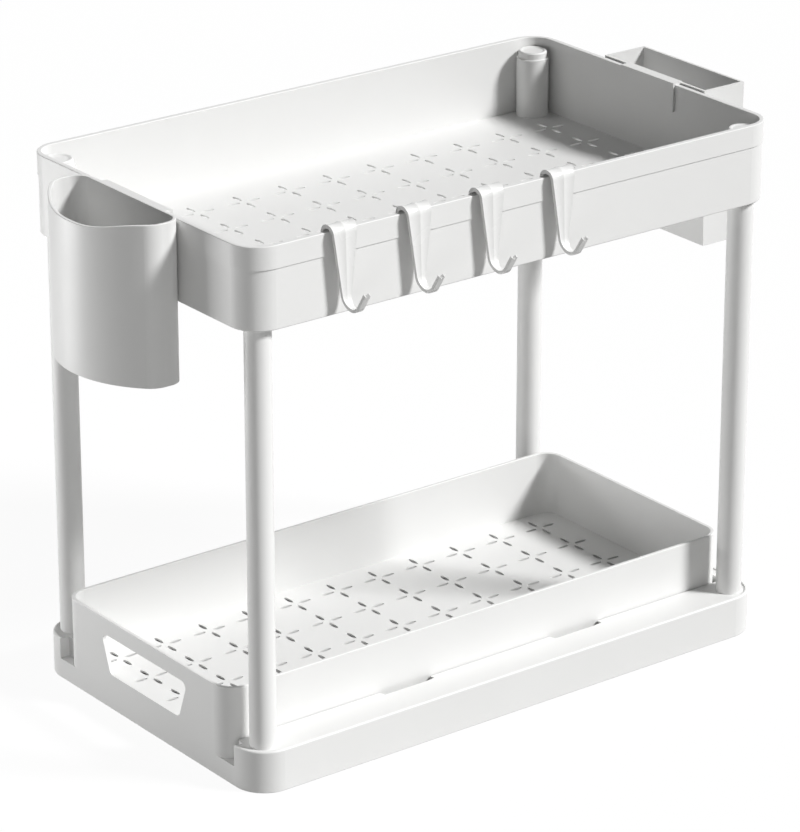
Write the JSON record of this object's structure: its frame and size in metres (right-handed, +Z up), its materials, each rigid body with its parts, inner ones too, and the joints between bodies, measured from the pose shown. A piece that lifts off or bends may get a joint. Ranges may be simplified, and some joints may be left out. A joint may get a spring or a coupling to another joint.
{
  "type": "under sink organizer",
  "caption": "Two-tier sliding organizer: a base with a pull-out drawer, poles, a slotted upper tray, and a hang-on cup, box and rim hooks.",
  "frame": {"origin": "centre of the base tray's underside, in the plane it stands on", "axes": "+Z up, +X along the length away from the drawer's grip (the drawer pulls out along -X), +Y towards the back; the hooks hang on the -Y side"},
  "size_m": [0.467, 0.2546, 0.3411],
  "materials": {
    "base_plastic": "fine matt white moulding",
    "box_plastic": "fine matt white moulding",
    "cap_plastic": "fine matt white moulding",
    "cup_plastic": "fine matt white moulding",
    "drawer_plastic": "fine matt white moulding",
    "hook_plastic": "smooth white moulding",
    "pole_white": "fine matt white moulding",
    "tray_plastic": "fine matt white moulding"
  },
  "bodies": {
    "frame": {"base_tray": "base_plastic", "upper_tray": "tray_plastic", "pole_front_left": "pole_white", "pole_back_left": "pole_white", "pole_front_right": "pole_white", "pole_back_right": "pole_white", "cap_front_left": "cap_plastic", "cap_back_left": "cap_plastic", "cap_front_right": "cap_plastic", "cap_back_right": "cap_plastic"},
    "drawer": {"drawer": "drawer_plastic"},
    "cup": {"side_cup": "cup_plastic"},
    "box": {"side_box": "box_plastic"},
    "hook_1": {"hook_1": "hook_plastic"},
    "hook_2": {"hook_2": "hook_plastic"},
    "hook_3": {"hook_3": "hook_plastic"},
    "hook_4": {"hook_4": "hook_plastic"}
  },
  "joints": [
    {"name": "drawer_slide", "type": "slide", "parent": "frame", "child": "drawer", "axis": [-1, 0, 0], "range_m": [0, 0.3]},
    {"name": "cup_lift", "type": "slide", "parent": "frame", "child": "cup", "axis": [0, 0, 1], "range_m": [0, 0.12]},
    {"name": "box_lift", "type": "slide", "parent": "frame", "child": "box", "axis": [0, 0, 1], "range_m": [0, 0.12]},
    {"name": "hook_1_slide", "type": "slide", "parent": "frame", "child": "hook_1", "axis": [1, 0, 0], "range_m": [-0.027, 0.016]},
    {"name": "hook_2_slide", "type": "slide", "parent": "frame", "child": "hook_2", "axis": [1, 0, 0], "range_m": [-0.016, 0.016]},
    {"name": "hook_3_slide", "type": "slide", "parent": "frame", "child": "hook_3", "axis": [1, 0, 0], "range_m": [-0.016, 0.016]},
    {"name": "hook_4_slide", "type": "slide", "parent": "frame", "child": "hook_4", "axis": [1, 0, 0], "range_m": [-0.016, 0.134]}
  ]
}
